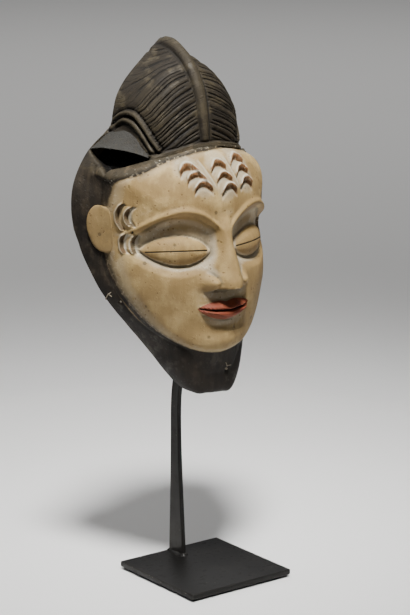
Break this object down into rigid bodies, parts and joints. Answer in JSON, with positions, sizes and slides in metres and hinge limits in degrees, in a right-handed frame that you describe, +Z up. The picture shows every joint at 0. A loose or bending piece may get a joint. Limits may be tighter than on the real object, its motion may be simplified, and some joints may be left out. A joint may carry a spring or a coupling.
{
  "type": "carved mask on a stand",
  "caption": "Hollow carved wooden face mask with a tall ridged crest, wings over the ears and raised scars, held by a bent flat bar on a square base plate.",
  "frame": {"origin": "centre of the stand's underside, at floor level", "axes": "+Z up, the mask faces -Y, +X to the viewer's right when facing it"},
  "size_m": [0.1766, 0.1096, 0.4383],
  "materials": {
    "carved_wood": "matt, painted and worn",
    "black_steel": "satin black",
    "dark_felt": "matt felt"
  },
  "bodies": {
    "root": {"mask": "carved_wood", "post": "black_steel", "base_plate": "black_steel", "felt_liner": "dark_felt"}
  },
  "joints": []
}
